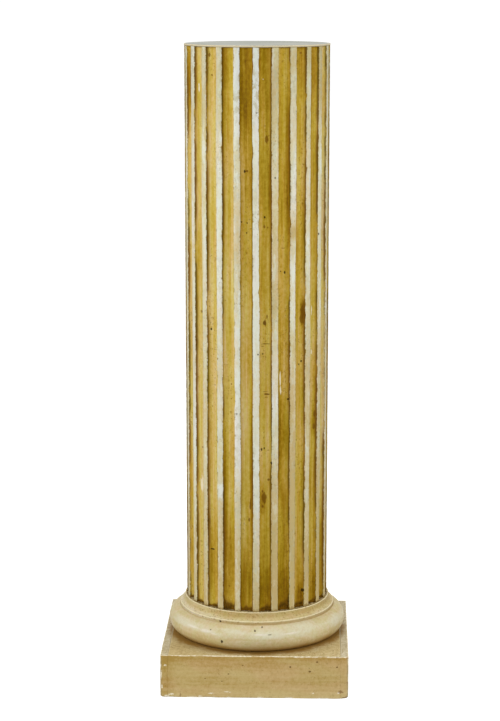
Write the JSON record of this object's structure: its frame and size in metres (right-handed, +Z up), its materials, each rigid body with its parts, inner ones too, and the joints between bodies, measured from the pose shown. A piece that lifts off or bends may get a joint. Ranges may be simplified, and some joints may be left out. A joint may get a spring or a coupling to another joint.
{
  "type": "doric column pedestal",
  "caption": "Freestanding fluted column pedestal with a flat round top, a turned torus base and a square plinth, in worn cream and ochre paint.",
  "frame": {"origin": "middle of the plinth's underside, on the floor", "axes": "+Z up along the column's axis, -Y towards the viewer of the front, +X to the viewer's right; the plinth's sides are parallel to X and Y, and one fillet of the shaft faces -Y, turned 0.95 degrees towards +X"},
  "size_m": [0.33, 0.33, 1.132],
  "materials": {
    "plinth_paint": "brushed buff paint over gesso, satin, rubbed pale along the edges and chipped at the corners",
    "base_paint": "cream paint over gesso, satin, with brown grime in the recesses and small pits",
    "shaft_paint": "cream fillets and ochre flutes painted by hand, satin, worn, with brown grime in the corners",
    "top_paint": "dusty grey-green paint, matt"
  },
  "bodies": {
    "root": {"plinth_block": "plinth_paint", "plinth_left_board": "plinth_paint", "plinth_right_board": "plinth_paint", "base_moulding": "base_paint", "shaft": "shaft_paint", "top_board": "top_paint"}
  },
  "joints": []
}
